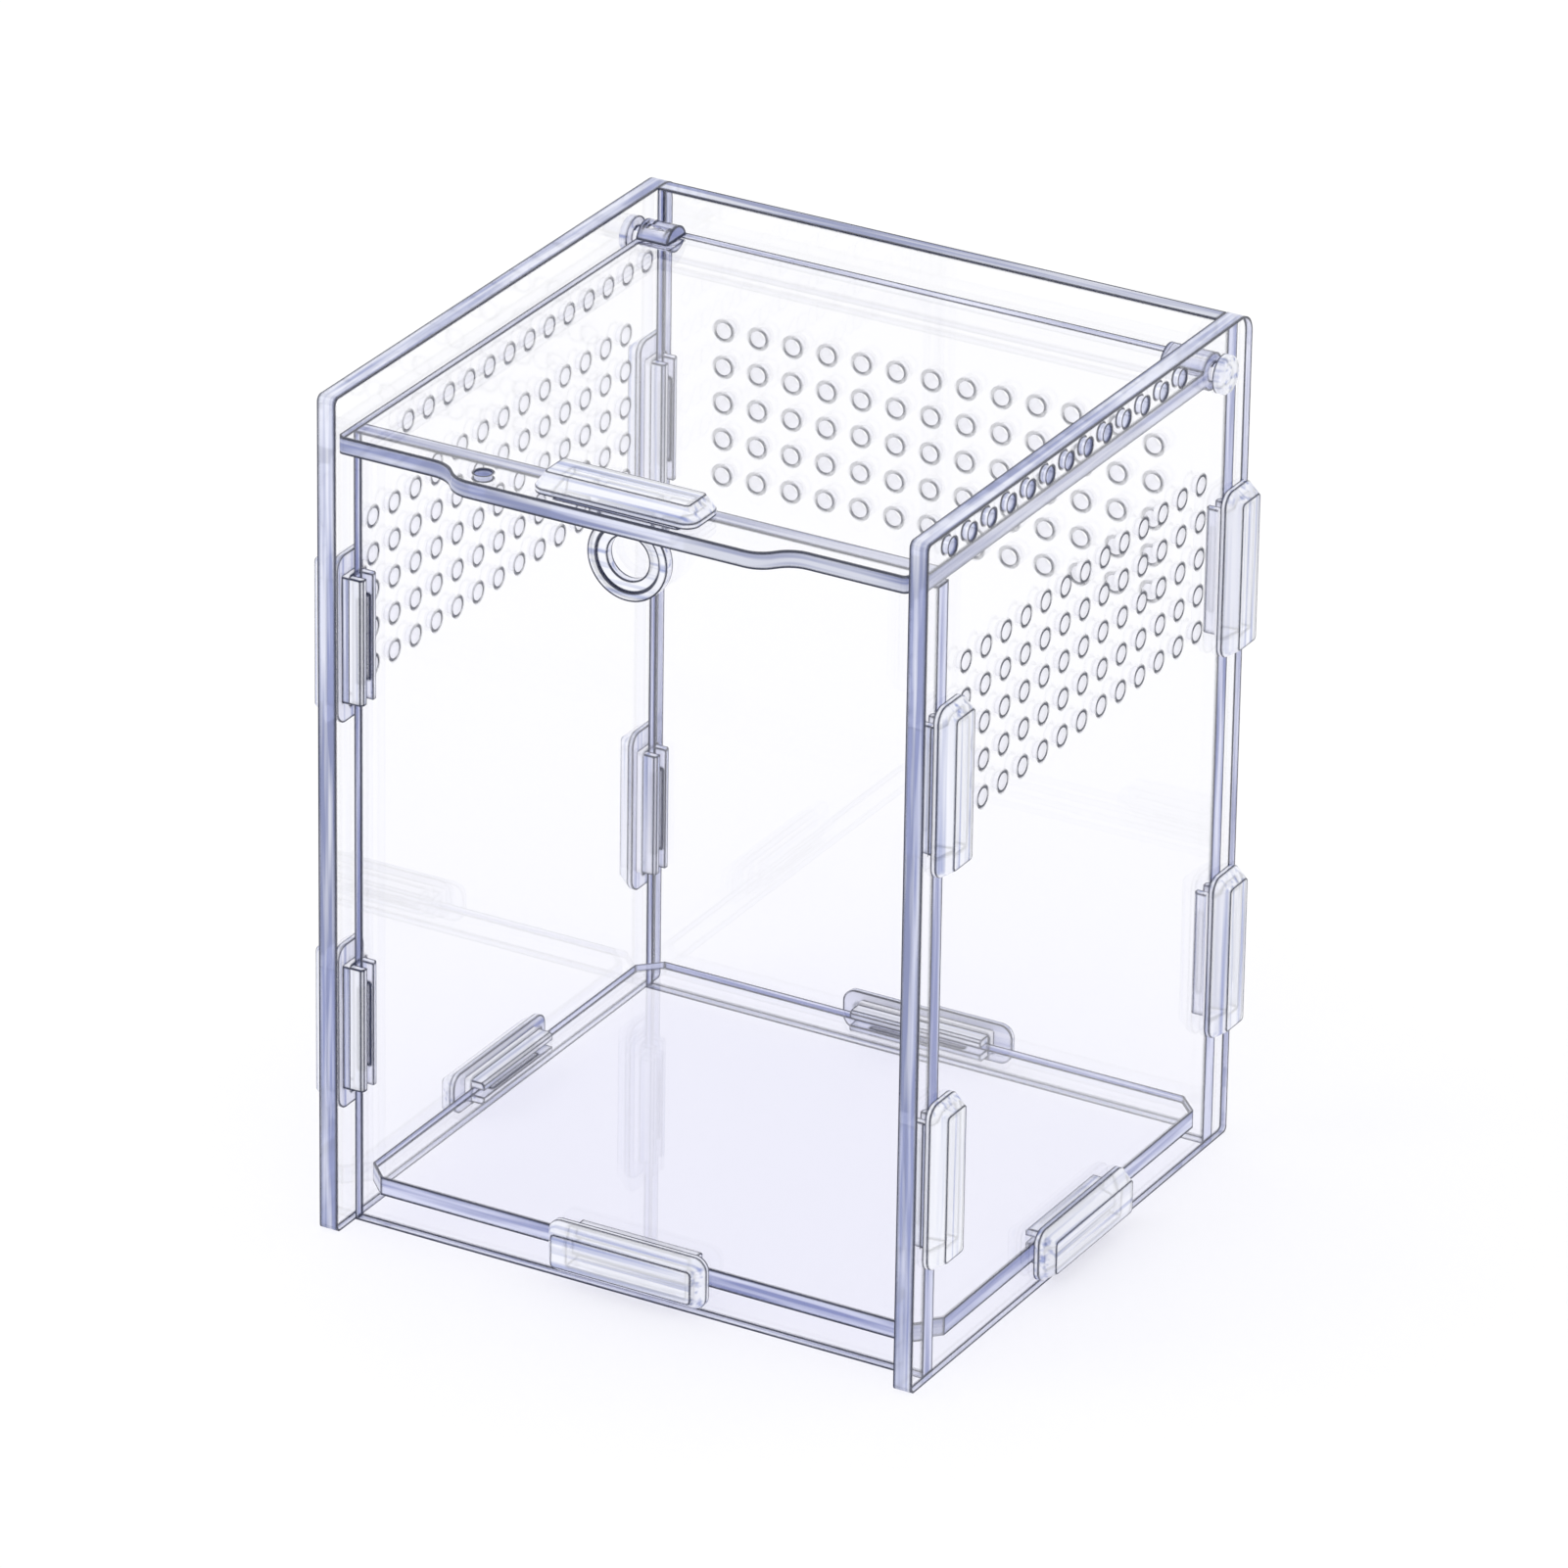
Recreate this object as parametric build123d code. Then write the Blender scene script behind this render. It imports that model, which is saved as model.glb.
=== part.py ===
from build123d import *
import os

# Clear acrylic terrarium for small reptiles, all sizes in millimetres.
# +Z is up, the front faces -Y. The origin is the middle of the footprint, on the table.
# Depths along Y are counted back from the front edges of the side panels.

# Whole box
box_width = 150.0
side_depth = 146.0
side_height = 201.5
sheet = 4.5
front_inset = 7.75
back_inset = 4.1

# Side panel corners
rear_top_radius = 5.0
front_top_radius = 1.5
foot_radius = 1.2

# Floor
floor_height = 6.3
floor_corner_cut = 5.0

# Lid
lid_thickness = 4.0
lid_drop = 8.5
lid_side_gap = 0.4
lid_front_gap = 0.2
lid_rear_gap = 1.5
lid_seat_gap = 0.3
tab_reach = 5.7
tab_flat = 68.0
tab_curve = 12.0
lid_corner_radius = 1.5
tab_hole_diameter = 4.0
tab_hole_offset = 33.5

# Lid pivots
pivot_rear_margin = 4.5
pivot_below_lid_top = 1.2
barrel_diameter = 8.8
barrel_length = 8.0
pivot_diameter = 4.0
pivot_engagement = 6.0
pivot_head_diameter = 9.0
pivot_head_height = 2.4
pivot_head_round = 1.1
pivot_head_gap = 0.2
running_clearance = 0.06
seat_clearance = 0.02

# Vents
vent_diameter = 3.8
vent_pitch = 8.85
vent_columns = 13
vent_rows = 5
vent_top_drop = 33.5
side_vent_start = 17.6
upper_vent_start = 30.3
upper_vent_pitch = 8.56
upper_vents = 13
left_upper_vent_drop = 19.0
right_upper_vent_start = 10.8
right_upper_vent_drop = 4.2

# Snap clips
head_length = 40.0
head_width = 12.6
head_height = 4.5
head_lip = 1.2
head_slope = 35.0
head_corner = 3.2
neck_length = 30.0
slot_clearance = 0.1
fork_leg = 1.8
fork_reach = 3.2
grip_clearance = 0.05
ridge_radius = 0.5
ridge_length = 20.0
ridge_depth = 1.8
ridge_clearance = 0.12
tip_chamfer = 0.6
upper_clip_drop = 59.5
lower_clip_height = 48.0

# Lid latch with its pull ring
latch_setback = 3.0
ring_diameter = 19.6
ring_hole_diameter = 10.4
ring_thickness = 2.6
ring_rim_width = 2.0
ring_recess = 0.5
ring_drop = 7.4
ring_barrel_diameter = 4.0
ring_barrel_gap = 0.4
ring_pin_diameter = 2.0
ring_setback = 5.1
ear_thickness = 2.4
ear_gap = 0.3

# Places that follow from the sizes above
half_width = box_width / 2
inner_half = half_width - sheet
rear_reach = max(side_depth, side_depth - back_inset + head_height)
front_y = (tab_reach - rear_reach) / 2
front_face = front_y + front_inset
back_face = front_y + side_depth - back_inset
floor_middle = floor_height + sheet / 2
lid_top = side_height - lid_drop
lid_bottom = lid_top - lid_thickness
lid_half = inner_half - lid_side_gap
lid_front = front_y + lid_front_gap
lid_rear = back_face - sheet - lid_rear_gap
pivot_y = lid_rear - pivot_rear_margin
pivot_z = lid_top - pivot_below_lid_top
fork_gap = sheet + 2 * grip_clearance
neck_width = fork_gap + 2 * fork_leg
latch_y = front_y + latch_setback
ring_axis_y = front_y + ring_setback
ring_axis_z = lid_bottom - ring_barrel_gap - ring_barrel_diameter / 2


def frame_at(x, y, z, along, outward):
    """Location of a clip: its length runs along, its head faces outward."""
    return Plane(origin=(x, y, z), x_dir=along, z_dir=outward).location


def corner_clip_frames():
    """Places of the eight upright clips, by name."""
    depths = {"front": front_face + sheet / 2, "rear": back_face - sheet / 2}
    heights = {"upper": side_height - upper_clip_drop, "lower": lower_clip_height}
    frames = {}
    for side, sign in (("left", -1), ("right", 1)):
        for end, depth in depths.items():
            for level, height in heights.items():
                name = f"{end}_{side}_{level}_clip"
                frames[name] = frame_at(sign * half_width, depth, height, (0, 0, 1), (sign, 0, 0))
    return frames


def floor_clip_frames():
    """Places of the four clips that hold the floor, by name."""
    middle = (front_face + back_face) / 2
    return {
        "left_floor_clip": frame_at(-half_width, middle, floor_middle, (0, 1, 0), (-1, 0, 0)),
        "right_floor_clip": frame_at(half_width, middle, floor_middle, (0, 1, 0), (1, 0, 0)),
        "front_floor_clip": frame_at(0, front_face, floor_middle, (1, 0, 0), (0, -1, 0)),
        "rear_floor_clip": frame_at(0, back_face, floor_middle, (1, 0, 0), (0, 1, 0)),
    }


def clip_head():
    """Capsule-shaped cap with sloping flanks, lying on the outer face of a panel."""
    base = RectangleRounded(head_length, head_width, head_corner)
    lip = extrude(base, amount=head_lip)
    crown = extrude(Pos(0, 0, head_lip) * base, amount=head_height - head_lip, taper=head_slope)
    return lip + crown


def clip_neck(depth, clearance=0.0):
    """Block that fills the slot under a head; with a clearance it cuts that slot."""
    length = neck_length + 2 * clearance
    width = neck_width + 2 * clearance
    return extrude(Rectangle(length, width), amount=-depth)


def fork_leg_solid(side):
    """One leg of the fork, chamfered at its outer tip."""
    section = Pos(0, side * (fork_gap + fork_leg) / 2, -sheet) * Rectangle(neck_length, fork_leg)
    leg = extrude(section, amount=-fork_reach)
    tip = leg.edges().filter_by(Axis.X).group_by(Axis.Z)[0].sort_by(Axis.Y)
    outer = tip[-1] if side > 0 else tip[0]
    return chamfer(outer, tip_chamfer)


def snap_ridges(clearance=0.0):
    """Round ridges inside the fork; with a clearance they cut the grooves they snap into."""
    ridges = Part()
    for side in (-1, 1):
        place = Pos(0, side * fork_gap / 2, -sheet - ridge_depth) * Rot(0, 90, 0)
        ridges += place * Cylinder(ridge_radius + clearance, ridge_length + 2 * clearance)
    return ridges


def snap_clip():
    """Clip whose head lies outside one panel and whose fork grips the edge of the next."""
    return clip_head() + clip_neck(sheet) + fork_leg_solid(-1) + fork_leg_solid(1) + snap_ridges()


def cut_with(panel, frames, cutter):
    """The panel less one copy of the cutter at each clip."""
    for frame in frames:
        panel -= frame * cutter
    return panel


def vent_grid(start_x, top_y, columns, rows, pitch):
    """Round vents in rows that start at one side and run down from the top."""
    vents = []
    for column in range(columns):
        for row in range(rows):
            vents.append(Pos(start_x + column * pitch, top_y - row * pitch) * Circle(vent_diameter / 2))
    return vents


def round_corner(outline, x, y, radius):
    """The outline with its corner nearest to x, y rounded."""
    return fillet(outline.vertices().sort_by_distance((x, y, 0))[0], radius)


def side_panel(sign, upper_start, upper_drop, clip_frames):
    """Side wall: rounded outline, vents, pivot hole and the slots for its clips."""
    outline = Pos(front_y + side_depth / 2, side_height / 2) * Rectangle(side_depth, side_height)
    rear_y = front_y + side_depth
    outline = round_corner(outline, front_y, 0, foot_radius)
    outline = round_corner(outline, rear_y, 0, foot_radius)
    outline = round_corner(outline, front_y, side_height, front_top_radius)
    outline = round_corner(outline, rear_y, side_height, rear_top_radius)
    grid_top = side_height - vent_top_drop
    outline -= vent_grid(front_y + side_vent_start, grid_top, vent_columns, vent_rows, vent_pitch)
    row_height = side_height - upper_drop
    outline -= vent_grid(front_y + upper_start, row_height, upper_vents, 1, upper_vent_pitch)
    outline -= Pos(pivot_y, pivot_z) * Circle(pivot_diameter / 2 + running_clearance)
    low_x = inner_half if sign > 0 else -half_width
    panel = extrude(Plane.YZ.offset(low_x) * outline, amount=sheet)
    return cut_with(panel, clip_frames, clip_neck(sheet, slot_clearance))


def front_panel(edge_frames, slot_frames):
    """Clear front wall, with grooves for the upright clips and a slot for the floor clip."""
    height = lid_bottom - lid_seat_gap
    outline = Pos(0, height / 2) * Rectangle(2 * inner_half, height)
    panel = extrude(Plane.XZ.offset(-(front_face + sheet)) * outline, amount=sheet)
    panel = cut_with(panel, edge_frames, snap_ridges(ridge_clearance))
    return cut_with(panel, slot_frames, clip_neck(sheet, slot_clearance))


def back_panel(edge_frames, slot_frames):
    """Vented rear wall, as tall as the side panels."""
    outline = Pos(0, side_height / 2) * Rectangle(2 * inner_half, side_height)
    first_column = -(vent_columns - 1) * vent_pitch / 2
    grid_top = side_height - vent_top_drop
    outline -= vent_grid(first_column, grid_top, vent_columns, vent_rows, vent_pitch)
    panel = extrude(Plane.XZ.offset(-back_face) * outline, amount=sheet)
    panel = cut_with(panel, edge_frames, snap_ridges(ridge_clearance))
    return cut_with(panel, slot_frames, clip_neck(sheet, slot_clearance))


def floor_panel(edge_frames):
    """Raised floor between the four walls, with its corners cut off."""
    depth = back_face - front_face - 2 * sheet
    middle = (front_face + back_face) / 2
    outline = Pos(0, middle) * Rectangle(2 * inner_half, depth)
    outline = chamfer(outline.vertices(), floor_corner_cut)
    panel = extrude(Plane.XY.offset(floor_height) * outline, amount=sheet)
    return cut_with(panel, edge_frames, snap_ridges(ridge_clearance))


def lid_outline():
    """Flat lid with a finger tab that swells out of its front edge on two easy S-curves."""
    flat = tab_flat / 2
    root = flat + tab_curve
    tip = front_y - tab_reach
    halfway = ((flat + root) / 2, (tip + lid_front) / 2)
    edge = [
        Line((-lid_half, lid_rear), (-lid_half, lid_front)),
        Line((-lid_half, lid_front), (-root, lid_front)),
        TangentArc((-root, lid_front), (-halfway[0], halfway[1]), tangent=(1, 0)),
        TangentArc((-flat, tip), (-halfway[0], halfway[1]), tangent=(-1, 0)),
        Line((-flat, tip), (flat, tip)),
        TangentArc((flat, tip), halfway, tangent=(1, 0)),
        TangentArc((root, lid_front), halfway, tangent=(-1, 0)),
        Line((root, lid_front), (lid_half, lid_front)),
        Line((lid_half, lid_front), (lid_half, lid_rear)),
        Line((lid_half, lid_rear), (-lid_half, lid_rear)),
    ]
    outline = make_face(edge)
    corners = [outline.vertices().sort_by_distance((side * lid_half, lid_front, 0))[0] for side in (-1, 1)]
    return fillet(corners, lid_corner_radius)


def lid_panel(latch_frame):
    """Lid with its tab, the latch slot and the two pivot barrels at its rear corners."""
    inward = (Align.CENTER, Align.CENTER, Align.MAX)
    outline = lid_outline()
    outline -= Pos(-tab_hole_offset, lid_front) * Circle(tab_hole_diameter / 2)
    lid = extrude(Plane.XY.offset(lid_bottom) * outline, amount=lid_thickness)
    lid -= latch_frame * clip_neck(lid_thickness, slot_clearance)
    for sign in (-1, 1):
        end = Pos(sign * lid_half, pivot_y, pivot_z) * Rot(0, 90 * sign, 0)
        lid += end * Cylinder(barrel_diameter / 2, barrel_length, align=inward)
        bore_radius = pivot_diameter / 2 + seat_clearance
        lid -= end * Cylinder(bore_radius, pivot_engagement + pivot_head_gap, align=inward)
    return lid


def pivot_pin(sign):
    """Pin with a domed head outside the side panel and its shank in the lid's barrel."""
    upward = (Align.CENTER, Align.CENTER, Align.MIN)
    head = Cylinder(pivot_head_diameter / 2, pivot_head_height, align=upward)
    head = fillet(head.edges().group_by(Axis.Z)[-1], pivot_head_round)
    shank_length = pivot_head_gap + sheet + lid_side_gap + pivot_engagement
    shank = Pos(0, 0, -shank_length) * Cylinder(pivot_diameter / 2, shank_length, align=upward)
    place = Pos(sign * (half_width + pivot_head_gap), pivot_y, pivot_z) * Rot(0, 90 * sign, 0)
    return place * (head + shank)


def latch_cap(latch_frame):
    """Cap on the lid like the clips' heads, with two ears under the lid for the ring's pin."""
    cap = latch_frame * (clip_head() + clip_neck(lid_thickness))
    barrel_half = ring_barrel_half()
    for sign in (-1, 1):
        eye = Plane.YZ * (Pos(ring_axis_y, ring_axis_z) * Circle(ring_barrel_diameter / 2))
        rise = lid_bottom - ring_axis_z
        stem = Plane.YZ * (Pos(ring_axis_y, ring_axis_z + rise / 2) * Rectangle(ring_barrel_diameter, rise))
        start = barrel_half + ear_gap if sign > 0 else -(barrel_half + ear_gap + ear_thickness)
        cap += Pos(start, 0, 0) * (extrude(eye, amount=ear_thickness) + extrude(stem, amount=ear_thickness))
    bore = Pos(0, ring_axis_y, ring_axis_z) * Rot(0, 90, 0)
    return cap - bore * Cylinder(ring_pin_diameter / 2 + seat_clearance, pin_length() + 2 * ear_gap)


def ring_barrel_half():
    """Half the length of the ring's barrel: where its top chord cuts the round ring."""
    return ((ring_diameter / 2) ** 2 - ring_drop**2) ** 0.5


def pin_length():
    """The ring's pin ends flush with the outer faces of both ears."""
    return 2 * (ring_barrel_half() + ear_gap + ear_thickness)


def latch_ring():
    """Pull ring: a stepped round eye that hangs from a barrel between the ears."""
    centre_z = ring_axis_z - ring_drop
    middle = Plane.XZ.offset(-ring_axis_y)
    disc = Pos(0, centre_z) * Circle(ring_diameter / 2)
    above = Pos(0, ring_axis_z + ring_diameter / 2) * Rectangle(2 * ring_diameter, ring_diameter)
    hole = Pos(0, centre_z) * Circle(ring_hole_diameter / 2)
    plate = extrude(middle * (disc - above - hole), amount=ring_thickness / 2, both=True)
    inner = Pos(0, centre_z) * Circle(ring_diameter / 2 - ring_rim_width)
    recess_face = Plane.XZ.offset(-ring_axis_y + ring_thickness / 2 - ring_recess)
    low_edge = Pos(0, ring_axis_z - ring_barrel_diameter / 2 + ring_diameter / 2)
    keep_out = low_edge * Rectangle(2 * ring_diameter, ring_diameter)
    plate -= extrude(recess_face * (inner - keep_out), amount=ring_recess)
    axis = Pos(0, ring_axis_y, ring_axis_z) * Rot(0, 90, 0)
    room_radius = ring_barrel_diameter / 2 + ring_barrel_gap
    ear_room = Cylinder(room_radius, ring_diameter) - Cylinder(room_radius, 2 * ring_barrel_half())
    ring = plate - axis * ear_room + axis * Cylinder(ring_barrel_diameter / 2, 2 * ring_barrel_half())
    return ring - axis * Cylinder(ring_pin_diameter / 2 + running_clearance, ring_diameter)


def ring_pin():
    """Straight pin that carries the pull ring."""
    axis = Pos(0, ring_axis_y, ring_axis_z) * Rot(0, 90, 0)
    return axis * Cylinder(ring_pin_diameter / 2, pin_length())


def build():
    """Every piece of the enclosure, by the name of its node."""
    corners = corner_clip_frames()
    floors = floor_clip_frames()
    latch_frame = frame_at(0, latch_y, lid_top, (1, 0, 0), (0, 0, 1))
    left_slots = [frame for name, frame in {**corners, **floors}.items() if "left" in name]
    right_slots = [frame for name, frame in {**corners, **floors}.items() if "right" in name]
    front_edges = [frame for name, frame in corners.items() if name.startswith("front")]
    rear_edges = [frame for name, frame in corners.items() if name.startswith("rear")]
    pieces = {
        "left_side_panel": side_panel(-1, upper_vent_start, left_upper_vent_drop, left_slots),
        "right_side_panel": side_panel(1, right_upper_vent_start, right_upper_vent_drop, right_slots),
        "front_panel": front_panel(front_edges, [floors["front_floor_clip"]]),
        "back_panel": back_panel(rear_edges, [floors["rear_floor_clip"]]),
        "floor_panel": floor_panel(list(floors.values())),
        "lid_panel": lid_panel(latch_frame),
        "left_pivot_pin": pivot_pin(-1),
        "right_pivot_pin": pivot_pin(1),
        "latch_cap": latch_cap(latch_frame),
        "latch_ring": latch_ring(),
        "ring_pin": ring_pin(),
    }
    clip = snap_clip()
    for name, frame in {**corners, **floors}.items():
        pieces[name] = frame * clip
    return pieces


os.makedirs("parts", exist_ok=True)
for node, piece in build().items():
    export_step(piece, f"parts/{node}.step")
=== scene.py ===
"""Studio scene of a clear acrylic terrarium that snaps together from flat panels."""

import logging
import math
from dataclasses import dataclass, field
from enum import Enum
from typing import Any, Union

import bpy
from mathutils import Matrix, Vector

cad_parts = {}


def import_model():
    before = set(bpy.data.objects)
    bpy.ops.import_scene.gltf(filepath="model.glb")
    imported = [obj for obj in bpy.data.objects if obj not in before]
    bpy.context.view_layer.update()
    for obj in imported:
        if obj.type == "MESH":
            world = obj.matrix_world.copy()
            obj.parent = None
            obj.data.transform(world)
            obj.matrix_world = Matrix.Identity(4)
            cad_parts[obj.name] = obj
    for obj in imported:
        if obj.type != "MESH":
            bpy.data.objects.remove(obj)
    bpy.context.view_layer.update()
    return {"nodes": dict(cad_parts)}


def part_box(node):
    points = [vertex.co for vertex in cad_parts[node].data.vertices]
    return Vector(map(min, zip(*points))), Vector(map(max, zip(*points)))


LOG = logging.getLogger("terrarium")
MM = 0.001

# The sRGB curve: a straight foot, then a power.
SRGB_FOOT_END = 0.04045
SRGB_FOOT_SLOPE = 12.92
SRGB_OFFSET = 0.055
SRGB_POWER = 2.4

# Colour that lamps and soft light keep after one wall of clear acrylic.
PASSED_LIGHT = "#FAFAFD"

# A corner is near where the faces round a point lean away from the point's own face.
CORNER_SAMPLES = 8
OPEN_FACE_COSINE = 0.9975
CORNER_COSINE = 0.9905

# The noise of the streaks gathers round its middle, and a soft step parts pale from deep.
NOISE_DETAIL = 1.5
NOISE_MIDDLE = 0.5
NOISE_SPREAD = 0.4
NOISE_SOFTNESS = 0.12

Tree = bpy.types.NodeTree
Socket = bpy.types.NodeSocket
Number = Union[Socket, float]
Colour = Union[Socket, tuple[float, float, float, float]]
Pieces = dict[str, bpy.types.Object]


class Axis(Enum):
    """An axis of the frame, by its place in a coordinate."""

    X = 0
    Y = 1
    Z = 2


def linear(hex_colour: str) -> tuple[float, float, float, float]:
    """Turn an sRGB hex colour into linear values.

    Args:
        hex_colour: Six hex digits, with or without a leading mark.

    Returns:
        Linear red, green and blue with an alpha of one.
    """
    digits = hex_colour.lstrip("#")
    values = []
    for start in (0, 2, 4):
        share = int(digits[start : start + 2], 16) / 255
        if share <= SRGB_FOOT_END:
            values.append(share / SRGB_FOOT_SLOPE)
        else:
            values.append(((share + SRGB_OFFSET) / (1 + SRGB_OFFSET)) ** SRGB_POWER)
    return values[0], values[1], values[2], 1.0


def add_node(tree: Tree, kind: str, settings: dict[Union[str, int], Any]) -> bpy.types.Node:
    """Add a shader node with its settings and its incoming links.

    Args:
        tree: Node tree that gets the node.
        kind: Blender's name of the node type.
        settings: Attribute names, or input names and numbers, with their values. An output
            socket as the value is linked to that input.

    Returns:
        The new node.
    """
    node = tree.nodes.new(kind)
    for key, value in settings.items():
        if isinstance(value, Socket):
            tree.links.new(value, node.inputs[key])
        elif isinstance(key, str) and hasattr(node, key):
            setattr(node, key, value)
        else:
            node.inputs[key].default_value = value
    return node


def new_material(name: str) -> tuple[bpy.types.Material, Tree]:
    """Make an empty node material.

    Args:
        name: Name of the material.

    Returns:
        The material and its emptied node tree.
    """
    material = bpy.data.materials.new(name)
    material.use_nodes = True
    material.node_tree.nodes.clear()
    return material, material.node_tree


def dress(piece: bpy.types.Object, material: bpy.types.Material) -> None:
    """Put one material into every slot of a piece.

    Args:
        piece: Object that gets the finish.
        material: Finish for all of its faces.
    """
    if not piece.material_slots:
        piece.data.materials.append(material)
    for slot in piece.material_slots:
        slot.material = material
    LOG.info("dressed %s in %s", piece.name, material.name)


def ramp(
    tree: Tree, value: Number, low: float, high: float, start: float = 0.0, end: float = 1.0
) -> Socket:
    """Map a value from one range to another, clamped at both ends.

    Args:
        tree: Node tree that gets the node.
        value: Socket or number to map.
        low: Value that gives the start.
        high: Value that gives the end.
        start: Result at the low value.
        end: Result at the high value.

    Returns:
        Socket with the mapped value.
    """
    settings = {"Value": value, "From Min": low, "From Max": high, "To Min": start, "To Max": end}
    return add_node(tree, "ShaderNodeMapRange", settings).outputs[0]


def calculate(tree: Tree, operation: str, *values: Number) -> Socket:
    """Work out one number from sockets and constants.

    Args:
        tree: Node tree that gets the node.
        operation: Blender's name of the sum.
        values: Sockets or plain numbers, in order.

    Returns:
        Socket with the result.
    """
    settings = {"operation": operation, **dict(enumerate(values))}
    return add_node(tree, "ShaderNodeMath", settings).outputs[0]


def blend(tree: Tree, share: Number, first: Colour, second: Colour) -> Socket:
    """Blend two colours by a share.

    Args:
        tree: Node tree that gets the node.
        share: 0 for the first colour and 1 for the second.
        first: Socket or linear colour.
        second: Socket or linear colour.

    Returns:
        Socket with the blended colour.
    """
    settings = {"data_type": "RGBA", 0: share, 6: first, 7: second}
    return add_node(tree, "ShaderNodeMix", settings).outputs[2]


def split(tree: Tree, vector: Socket) -> dict[Axis, Socket]:
    """Take a vector apart.

    Args:
        tree: Node tree that gets the node.
        vector: Socket with the vector.

    Returns:
        Socket with each of its three parts.
    """
    parts = add_node(tree, "ShaderNodeSeparateXYZ", {0: vector})
    return {axis: parts.outputs[axis.value] for axis in Axis}


def arris_mask(tree: Tree, reach: Number) -> Socket:
    """Find the narrow strip along each sharp corner.

    Args:
        tree: Node tree that gets the nodes.
        reach: How far round a point a corner is looked for, in metres.

    Returns:
        Socket that is 1 on a corner and 0 on open faces.
    """
    rounded = add_node(tree, "ShaderNodeBevel", {"samples": CORNER_SAMPLES, "Radius": reach})
    flat = add_node(tree, "ShaderNodeNewGeometry", {})
    settings = {"operation": "DOT_PRODUCT", 0: rounded.outputs[0], 1: flat.outputs["Normal"]}
    same = add_node(tree, "ShaderNodeVectorMath", settings)
    return ramp(tree, same.outputs["Value"], OPEN_FACE_COSINE, CORNER_COSINE)


def streaks(
    tree: Tree, place: Socket, axis: Axis, along_mm: float, across_mm: float, pale_share: float
) -> Socket:
    """Draw soft noise that has one length along an axis and another across it.

    Args:
        tree: Node tree that gets the nodes.
        place: Socket with the place on the piece, in metres.
        axis: The axis that is told apart.
        along_mm: Length of one change along that axis, in millimetres.
        across_mm: Length of one change along the other two, in millimetres.
        pale_share: Share of the surface, more or less, that comes out below one half.

    Returns:
        Socket between 0 and 1.
    """
    lengths = [across_mm] * len(Axis)
    lengths[axis.value] = along_mm
    scale = [1.0 / (length * MM) for length in lengths]
    stretched = add_node(tree, "ShaderNodeMapping", {"Vector": place, "Scale": scale})
    settings = {"Vector": stretched.outputs[0], "Scale": 1.0, "Detail": NOISE_DETAIL}
    noise = add_node(tree, "ShaderNodeTexNoise", settings)
    step = NOISE_MIDDLE + NOISE_SPREAD * (pale_share - 0.5)
    return ramp(tree, noise.outputs["Fac"], step - NOISE_SOFTNESS, step + NOISE_SOFTNESS)


def let_light_through(tree: Tree, surface: Socket) -> None:
    """Send a shader out so that lamps and soft light pass straight through it.

    Args:
        tree: Node tree that gets the output.
        surface: Socket of the shader that the eye sees.
    """
    rays = add_node(tree, "ShaderNodeLightPath", {}).outputs
    soft = calculate(tree, "MAXIMUM", rays["Is Shadow Ray"], rays["Is Diffuse Ray"])
    clear = add_node(tree, "ShaderNodeBsdfTransparent", {"Color": linear(PASSED_LIGHT)})
    both = add_node(tree, "ShaderNodeMixShader", {0: soft, 1: surface, 2: clear.outputs[0]})
    add_node(tree, "ShaderNodeOutputMaterial", {"Surface": both.outputs[0]})


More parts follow.
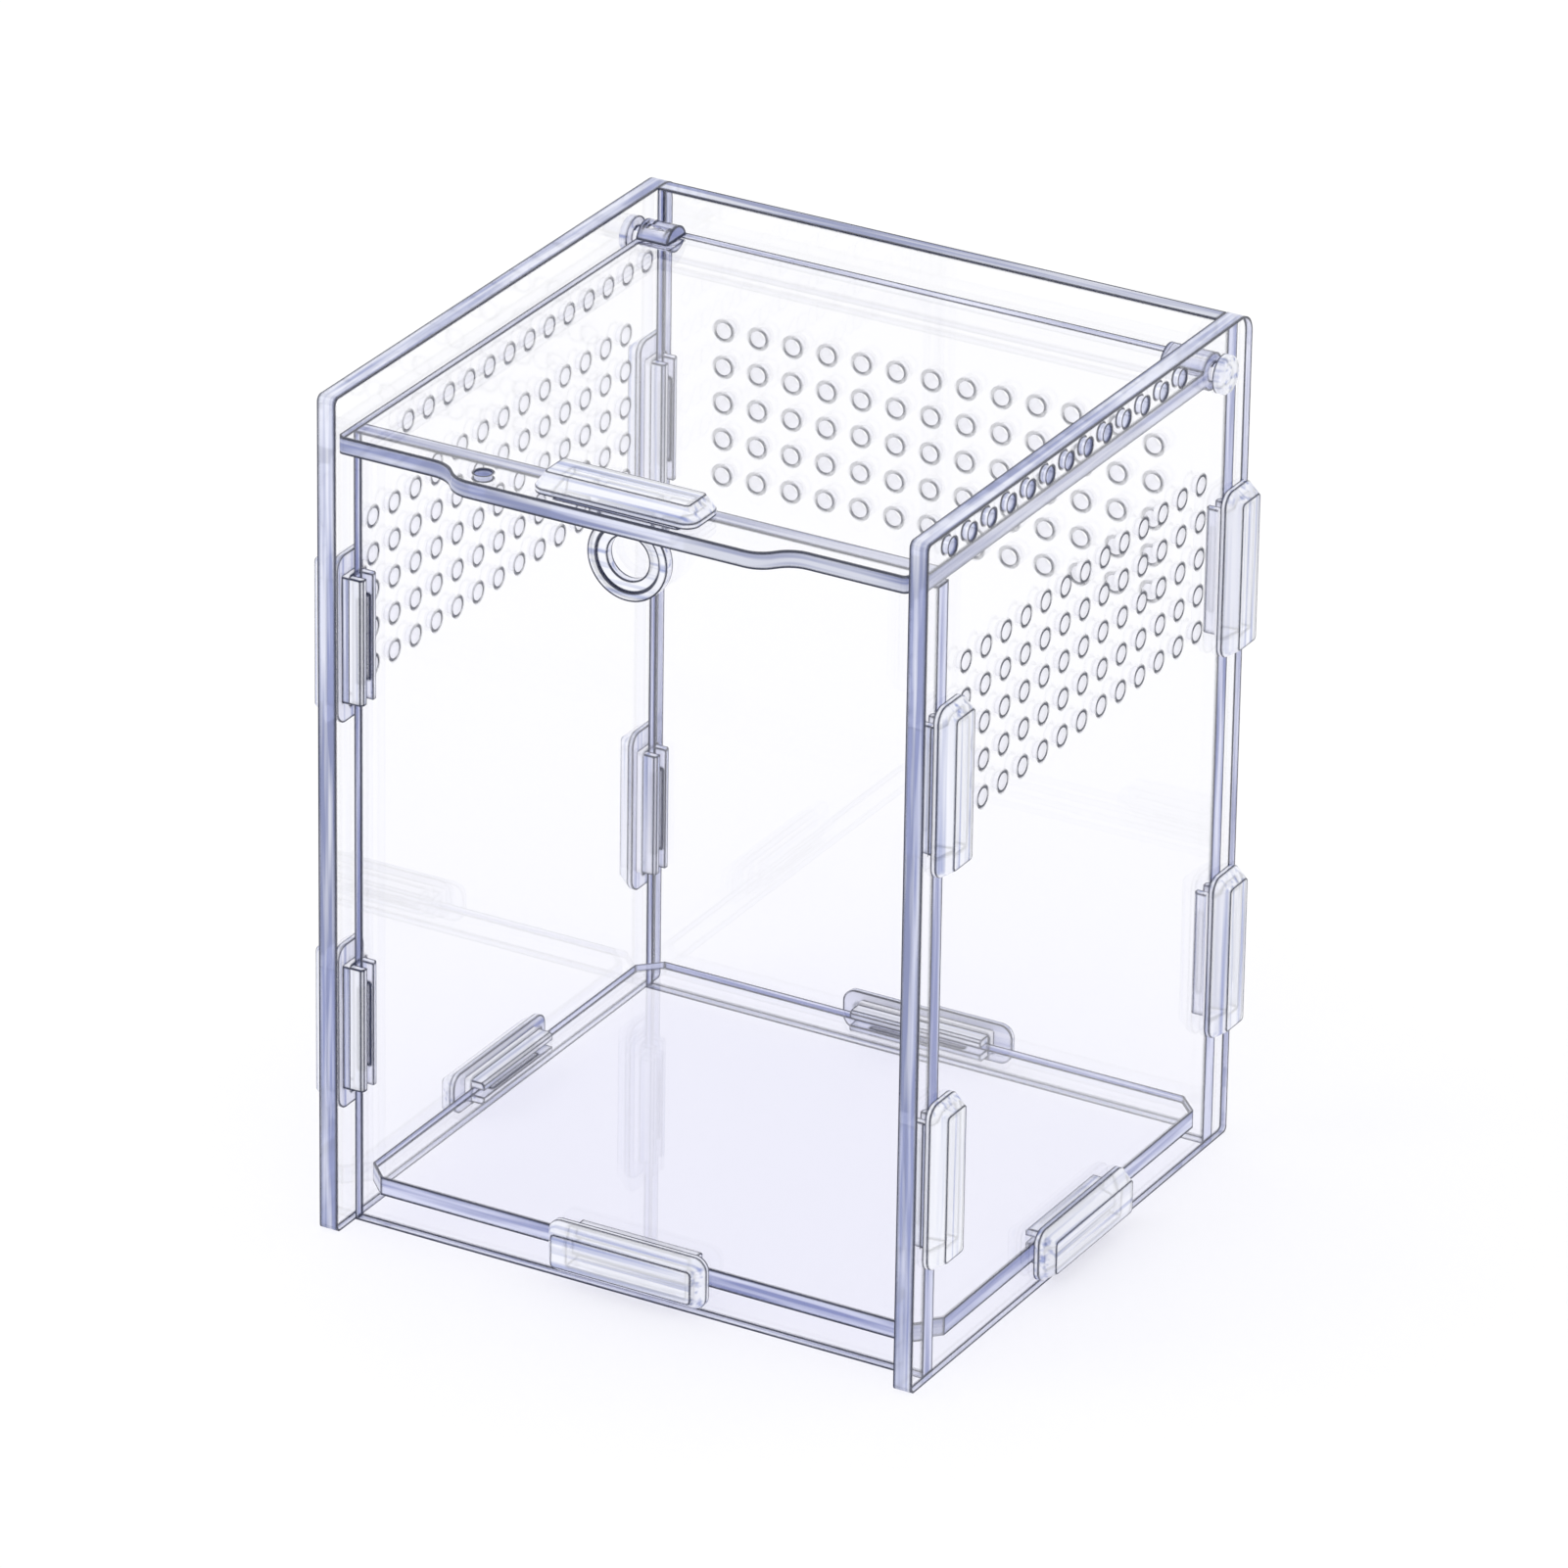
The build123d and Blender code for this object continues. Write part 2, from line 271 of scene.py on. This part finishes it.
@dataclass(frozen=True)
class PolishedSheet:
    """Cast acrylic sheet, laser cut: faces like air, edges that gather a lavender light.

    The broad faces only bend what is seen through them. The cut edges carry the sheet's own
    tint, because light runs a long way inside the sheet before it leaves there, streaked with
    pale painted highlights. The short walls of the vents stay pale. Each arris is a thin line
    of painted shade, but round the vents it is strong only on one chosen side of the sheet and
    faint on the other side and on the vent walls.
    """

    axis: Axis
    # True puts the vents' painted shade rims on the sheet's low side, False on its high side.
    dark_rims_on_low_side: bool = True
    vented: bool = True
    face_colour: str = "#FDFDFF"
    # Pale streaks of painted highlight on the cut edges.
    pale_edge_highlight_colour: str = "#E6E9F8"
    deep_edge_colour: str = "#949CC6"
    vent_colour: str = "#FFFFFF"
    # Painted shade along each arris.
    arris_painted_shade_colour: str = "#34384A"
    ior: float = 1.49
    face_roughness: float = 0.0
    edge_roughness: float = 0.08
    edge_transmission: float = 0.2
    face_cosine: float = 0.9
    edge_cosine: float = 0.5
    arris_reach_mm: float = 1.1
    rim_reach_mm: float = 1.7
    quiet_rim_share: float = 0.12
    streak_width_mm: float = 1.6
    streak_length_mm: float = 45.0
    streak_pale_share: float = 0.5
    outline_share: float = 0.04

    def build(self) -> bpy.types.Material:
        """Make the material.

        Returns:
            The finished node material.
        """
        material, tree = new_material(f"laser_cut_cast_acrylic_{self.axis.name.lower()}")
        place = add_node(tree, "ShaderNodeTexCoord", {}).outputs
        across = calculate(tree, "ABSOLUTE", split(tree, place["Normal"])[self.axis])
        edge = ramp(tree, across, self.face_cosine, self.edge_cosine)
        # The sheet's tint on the cut edges, streaked with pale painted highlights.
        tint = self.edge_tint_and_highlights(tree, place["Object"])
        if self.vented:
            parts = split(tree, place["Generated"])
            outline = self.near_outline(tree, parts)
            tint = blend(tree, outline, linear(self.vent_colour), tint)
            clear_share = calculate(tree, "MULTIPLY", outline, self.edge_transmission)
            arris = self.rim_painted_shade(tree, edge, outline, parts[self.axis])
        else:
            clear_share = self.edge_transmission
            arris = arris_mask(tree, self.arris_reach_mm * MM)
        body = blend(tree, edge, linear(self.face_colour), tint)
        solid = calculate(tree, "MAXIMUM", edge, arris)
        glass = calculate(tree, "MULTIPLY", calculate(tree, "SUBTRACT", 1.0, clear_share), edge)
        opaque = calculate(tree, "MAXIMUM", glass, arris)
        settings = {
            "IOR": self.ior,
            # Painted shade lines along the arrises, over the body colour.
            "Base Color": blend(tree, arris, body, linear(self.arris_painted_shade_colour)),
            "Roughness": ramp(tree, solid, 0.0, 1.0, self.face_roughness, self.edge_roughness),
            "Transmission Weight": calculate(tree, "SUBTRACT", 1.0, opaque),
        }
        let_light_through(tree, add_node(tree, "ShaderNodeBsdfPrincipled", settings).outputs[0])
        return material

    def edge_tint_and_highlights(self, tree: Tree, place: Socket) -> Socket:
        """Draw the cut edge's streaks along the edge: pale painted highlights over the deep tint.

        Args:
            tree: Node tree that gets the nodes.
            place: Socket with the place on the piece, in metres.

        Returns:
            Socket with the edge's tint and painted highlights.
        """
        width = self.streak_width_mm
        share = streaks(tree, place, self.axis, width, self.streak_length_mm, self.streak_pale_share)
        return blend(tree, share, linear(self.pale_edge_highlight_colour), linear(self.deep_edge_colour))

    def near_outline(self, tree: Tree, parts: dict[Axis, Socket]) -> Socket:
        """Find the strip round the sheet's outer edges, away from its vents.

        Args:
            tree: Node tree that gets the nodes.
            parts: Place in the piece's own box, from 0 to 1 along each axis.

        Returns:
            Socket that is 1 near the outline and 0 further in.
        """
        off_middle = [
            calculate(tree, "ABSOLUTE", calculate(tree, "SUBTRACT", parts[axis], 0.5))
            for axis in Axis
            if axis is not self.axis
        ]
        furthest = calculate(tree, "MAXIMUM", *off_middle)
        return calculate(tree, "GREATER_THAN", furthest, 0.5 - self.outline_share)

    def rim_painted_shade(self, tree: Tree, edge: Socket, outline: Socket, depth: Socket) -> Socket:
        """Find the painted shade line along each arris, faded on a vent's wall and on the vent's rim
        on the side without dark rims.

        Args:
            tree: Node tree that gets the nodes.
            edge: Socket that is 1 on cut walls and 0 on the broad faces.
            outline: Socket that is 1 near the sheet's outline.
            depth: Socket with the place through the sheet, from 0 to 1.

        Returns:
            Socket that is 1 where an arris carries full painted shade.
        """
        # Rims on the side without dark rims keep only a faint painted shade line.
        beyond = "GREATER_THAN" if self.dark_rims_on_low_side else "LESS_THAN"
        faded_side = calculate(tree, beyond, depth, 0.5)
        vent_side = calculate(tree, "SUBTRACT", 1.0, outline)
        reach = ramp(tree, vent_side, 0.0, 1.0, self.arris_reach_mm * MM, self.rim_reach_mm * MM)
        wall_or_exit = calculate(tree, "MAXIMUM", faded_side, edge)
        quiet = calculate(tree, "MULTIPLY", wall_or_exit, vent_side)
        share = ramp(tree, quiet, 0.0, 1.0, 1.0, self.quiet_rim_share)
        return calculate(tree, "MULTIPLY", arris_mask(tree, reach), share)


@dataclass(frozen=True)
class MouldedClear:
    """Injection-moulded clear acrylic of the clips and pins.

    Long pale and lavender streaks run along each piece, the pale ones painted highlights, and
    the corners carry thin lines of painted shade like those of the sheets.
    """

    along: Axis
    # Pale streaks of painted highlight.
    pale_highlight_colour: str = "#FAFBFF"
    deep_colour: str = "#98A3D0"
    # Painted shade along each arris.
    arris_painted_shade_colour: str = "#34384A"
    ior: float = 1.49
    roughness: float = 0.05
    transmission: float = 0.35
    arris_reach_mm: float = 0.8
    pale_share: float = 0.8
    streak_width_mm: float = 1.5
    streak_length_mm: float = 70.0

    def build(self) -> bpy.types.Material:
        """Make the material.

        Returns:
            The finished node material.
        """
        material, tree = new_material(f"injection_moulded_acrylic_{self.along.name.lower()}")
        place = add_node(tree, "ShaderNodeTexCoord", {}).outputs["Object"]
        length = self.streak_length_mm
        share = streaks(tree, place, self.along, length, self.streak_width_mm, self.pale_share)
        # Pale painted highlight streaks among the lavender ones.
        body = blend(tree, share, linear(self.pale_highlight_colour), linear(self.deep_colour))
        arris = arris_mask(tree, self.arris_reach_mm * MM)
        settings = {
            "IOR": self.ior,
            "Roughness": self.roughness,
            # Painted shade lines along the arrises, over the body colour.
            "Base Color": blend(tree, arris, body, linear(self.arris_painted_shade_colour)),
            "Transmission Weight": ramp(tree, arris, 0.0, 1.0, self.transmission, 0.0),
        }
        let_light_through(tree, add_node(tree, "ShaderNodeBsdfPrincipled", settings).outputs[0])
        return material


@dataclass
class Studio:
    """White sweep, even sky, one soft lamp and the camera at the photograph's angle.

    Lengths whose names have no unit are in metres.
    """

    floor_half: float = 4.0
    floor_drop: float = 0.0002
    floor_colour: str = "#FFFFFF"
    sky_colour: str = "#FFFFFF"
    sky_strength: float = 1.0
    lamp_side: float = 0.8
    lamp_watts: float = 2.0
    lamp_place: tuple[float, float, float] = (-0.9, -0.9, 1.3)
    lamp_target: tuple[float, float, float] = (0.0, 0.0, 0.1)
    camera_from_corner_mm: tuple[float, float, float] = (1242.8, -2005.6, 1239.3)
    camera_clip_end: float = 20.0
    yaw_deg: float = 29.3228
    pitch_deg: float = -25.5824
    roll_deg: float = 0.855
    lens_mm: float = 275.78
    sensor_mm: float = 36.0

    def build(self, corner: Vector) -> None:
        """Build the floor, the sky, the lamp and the camera.

        Args:
            corner: Lower front left corner of the box, in metres.
        """
        self.build_floor()
        self.build_sky()
        self.build_lamp()
        self.build_camera(corner)

    def build_floor(self) -> None:
        """Lay a wide white floor just under the box."""
        half = self.floor_half
        low = -self.floor_drop
        corners = [(-half, -half, low), (half, -half, low), (half, half, low), (-half, half, low)]
        mesh = bpy.data.meshes.new("floor")
        mesh.from_pydata(corners, [], [(0, 1, 2, 3)])
        floor = bpy.data.objects.new("floor", mesh)
        bpy.context.scene.collection.objects.link(floor)
        material, tree = new_material("white_sweep")
        shader = add_node(tree, "ShaderNodeBsdfDiffuse", {"Color": linear(self.floor_colour)})
        add_node(tree, "ShaderNodeOutputMaterial", {"Surface": shader.outputs[0]})
        dress(floor, material)

    def build_sky(self) -> None:
        """Surround the box with an even white sky."""
        world = bpy.data.worlds.new("even_sky")
        world.use_nodes = True
        tree = world.node_tree
        tree.nodes.clear()
        settings = {"Color": linear(self.sky_colour), "Strength": self.sky_strength}
        sky = add_node(tree, "ShaderNodeBackground", settings)
        add_node(tree, "ShaderNodeOutputWorld", {"Surface": sky.outputs[0]})
        bpy.context.scene.world = world

    def build_lamp(self) -> None:
        """Hang one soft lamp over the front left for a gentle modelling light."""
        data = bpy.data.lights.new("soft_box", "AREA")
        data.shape = "RECTANGLE"
        data.size = self.lamp_side
        data.size_y = self.lamp_side
        data.energy = self.lamp_watts
        lamp = bpy.data.objects.new("soft_box", data)
        lamp.location = self.lamp_place
        aim = Vector(self.lamp_target) - lamp.location
        lamp.rotation_euler = aim.to_track_quat("-Z", "Y").to_euler()
        bpy.context.scene.collection.objects.link(lamp)

    def build_camera(self, corner: Vector) -> None:
        """Set the camera where the photograph was taken from.

        Args:
            corner: Lower front left corner of the box, in metres.
        """
        data = bpy.data.cameras.new("camera")
        data.lens = self.lens_mm
        data.sensor_width = self.sensor_mm
        data.sensor_fit = "HORIZONTAL"
        data.clip_end = self.camera_clip_end
        camera = bpy.data.objects.new("camera", data)
        place = Matrix.Translation(corner + Vector(self.camera_from_corner_mm) * MM)
        turn = Matrix.Rotation(math.radians(self.yaw_deg), 4, "Z")
        tilt = Matrix.Rotation(math.radians(90 + self.pitch_deg), 4, "X")
        roll = Matrix.Rotation(math.radians(self.roll_deg), 4, "Z")
        camera.matrix_world = place @ turn @ tilt @ roll
        bpy.context.scene.collection.objects.link(camera)
        bpy.context.scene.camera = camera


@dataclass
class Shell:
    """The five fixed panels and the lid, by the axis that each is thin along."""

    thin: dict[str, Axis] = field(
        default_factory=lambda: {
            "left_side_panel": Axis.X,
            "right_side_panel": Axis.X,
            "front_panel": Axis.Y,
            "back_panel": Axis.Y,
            "floor_panel": Axis.Z,
            "lid_panel": Axis.Z,
        }
    )

    def build(self, nodes: Pieces) -> None:
        """Dress every panel.

        Args:
            nodes: The frame's CAD objects by name.
        """
        # Side walls get their vents' painted shade rims on the high side, front and back on the low
        # side.
        finishes = {
            Axis.X: PolishedSheet(Axis.X, dark_rims_on_low_side=False).build(),
            Axis.Y: PolishedSheet(Axis.Y).build(),
            Axis.Z: PolishedSheet(Axis.Z, vented=False).build(),
        }
        for name, axis in self.thin.items():
            dress(nodes[name], finishes[axis])


@dataclass
class Fittings:
    """Clips, pins, latch cap and pull ring: every piece that isn't a panel."""

    panel_ending: str = "_panel"

    def build(self, nodes: Pieces) -> None:
        """Dress every small moulding along its own longest side.

        Args:
            nodes: The frame's CAD objects by name.
        """
        finishes = {axis: MouldedClear(axis).build() for axis in Axis}
        for name, node in nodes.items():
            if not name.endswith(self.panel_ending):
                dress(node, finishes[self.long_axis(name)])

    def long_axis(self, name: str) -> Axis:
        """Find the axis that a moulding's flow runs along.

        Args:
            name: Name of the node.

        Returns:
            The axis along its longest side.
        """
        low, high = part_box(name)
        sides = [high[axis.value] - low[axis.value] for axis in Axis]
        return Axis(sides.index(max(sides)))


def main() -> None:
    """Build the whole scene around the frame."""
    logging.basicConfig(level=logging.INFO)
    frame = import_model()
    nodes = frame["nodes"]
    bpy.context.scene.view_settings.view_transform = "Standard"
    low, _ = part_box("left_side_panel")
    Studio().build(Vector((low.x, low.y, 0.0)))
    Shell().build(nodes)
    Fittings().build(nodes)


if __name__ == "__main__":
    main()
